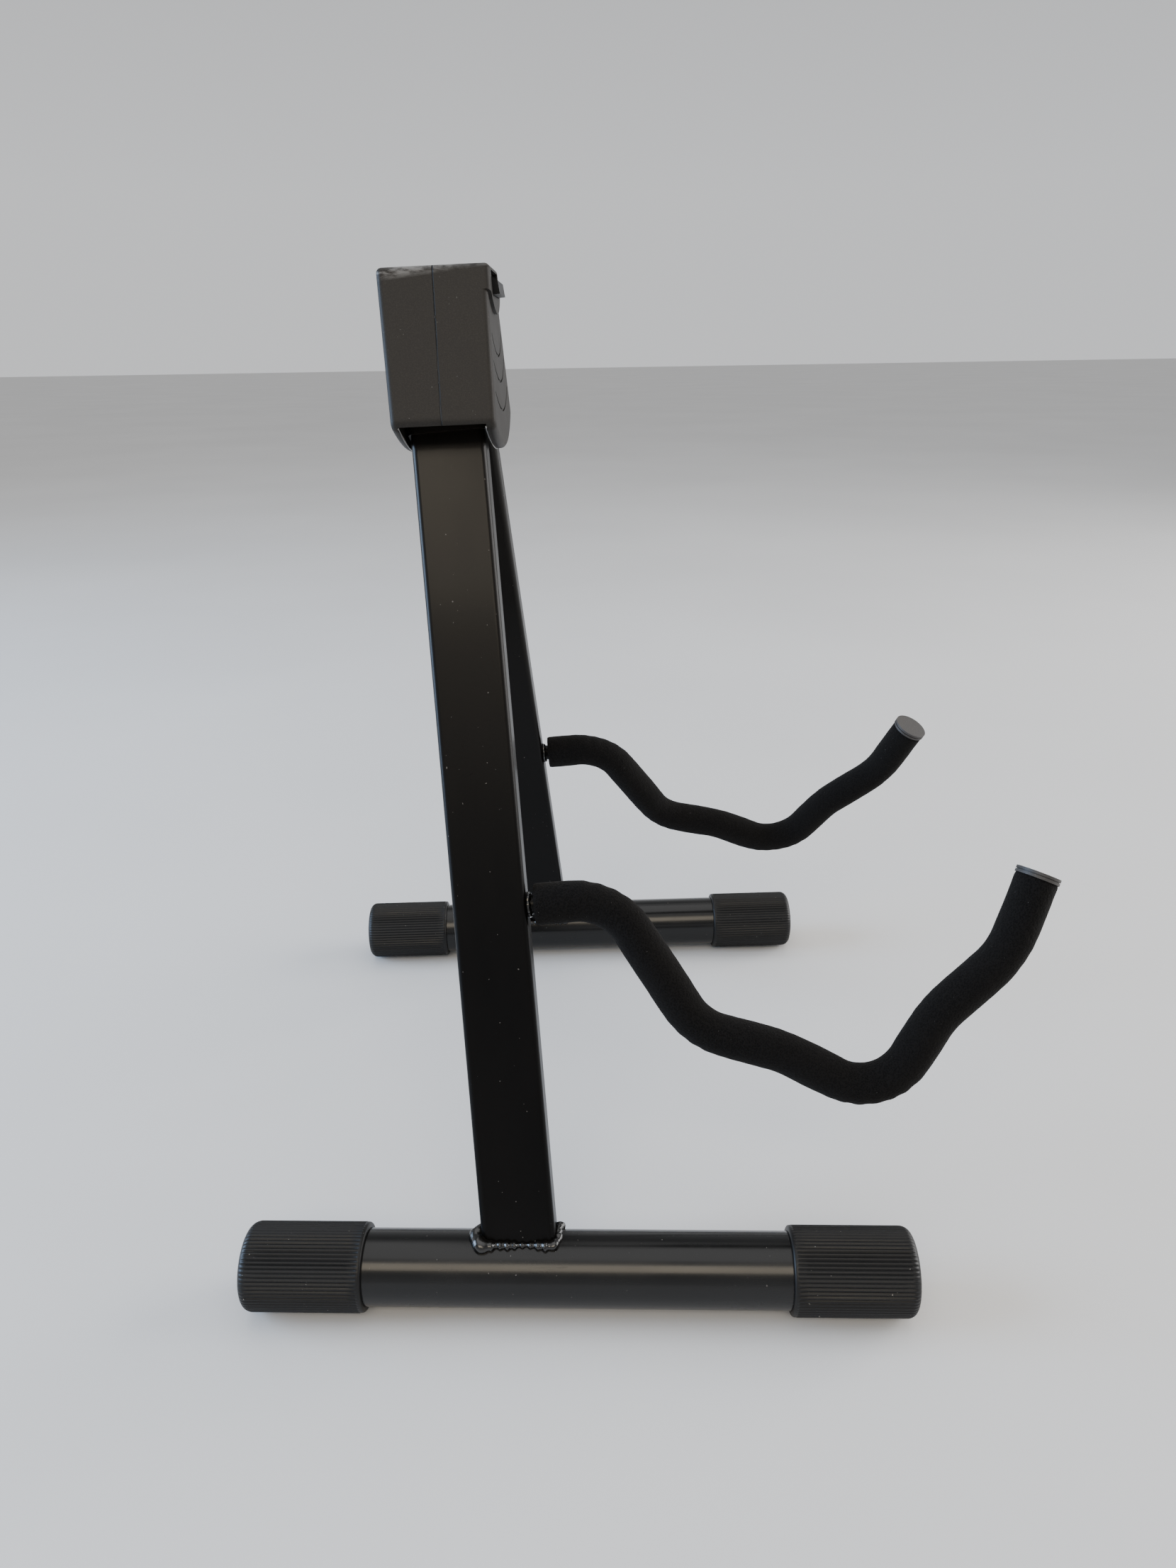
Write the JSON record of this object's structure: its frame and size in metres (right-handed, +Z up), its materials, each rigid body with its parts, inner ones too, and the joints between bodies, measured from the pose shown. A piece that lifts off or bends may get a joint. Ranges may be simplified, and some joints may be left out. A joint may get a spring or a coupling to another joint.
{
  "type": "folding guitar stand",
  "caption": "Black A-frame guitar stand with hinged rectangular legs, foam-padded wavy arms, round tube feet with ribbed rubber caps and a moulded hinge head.",
  "frame": {"origin": "on the floor at the middle of the stand's footprint box, stand open", "axes": "+Z up; -Y to the front, where the arms point; +X to the stand's right side as seen from the front"},
  "size_m": [0.3316, 0.3328, 0.3992],
  "materials": {
    "head_plastic": "fine moulded texture, black",
    "latch_plastic": "smooth moulded, black",
    "black_cap_plastic": "matt, black",
    "black_paint": "satin black powder coat",
    "black_rubber": "ribbed, matt black",
    "black_foam": "open-cell foam, matt black",
    "zinc_steel": "zinc plated"
  },
  "bodies": {
    "head": {"front_shell": "head_plastic", "back_shell": "head_plastic", "shell_screws": "zinc_steel", "latch_spring": "zinc_steel", "left_pivot_pin": "zinc_steel", "right_pivot_pin": "zinc_steel"},
    "left_leg": {"left_leg_tube": "black_paint", "left_pivot_bush": "zinc_steel", "left_pivot_collar": "black_cap_plastic", "left_foot_tube": "black_paint", "left_foot_weld": "black_paint", "left_front_foot_cap": "black_rubber", "left_back_foot_cap": "black_rubber", "left_arm_rod": "black_paint", "left_arm_weld": "black_paint", "left_foam_sleeve": "black_foam", "left_arm_end_cap": "black_cap_plastic"},
    "right_leg": {"right_leg_tube": "black_paint", "right_pivot_bush": "zinc_steel", "right_pivot_collar": "black_cap_plastic", "right_foot_tube": "black_paint", "right_foot_weld": "black_paint", "right_front_foot_cap": "black_rubber", "right_back_foot_cap": "black_rubber", "right_arm_rod": "black_paint", "right_arm_weld": "black_paint", "right_foam_sleeve": "black_foam", "right_arm_end_cap": "black_cap_plastic"},
    "latch": {"latch": "latch_plastic"}
  },
  "joints": [
    {"name": "left_fold", "type": "hinge", "parent": "head", "child": "left_leg", "pos_m": [-0.018, 0.07774, 0.34584], "axis": [0, -0.9971, 0.0767], "range_deg": [0, 20.9]},
    {"name": "right_fold", "type": "hinge", "parent": "head", "child": "right_leg", "pos_m": [0.018, 0.07774, 0.34584], "axis": [0, 0.9971, -0.0767], "range_deg": [0, 20.9]},
    {"name": "latch_lift", "type": "slide", "parent": "head", "child": "latch", "axis": [0, 0.0767, 0.9971], "range_m": [0, 0.002], "stiffness_N_per_m": 300, "springref_m": -0.003, "deforming": ["latch_spring"]}
  ]
}
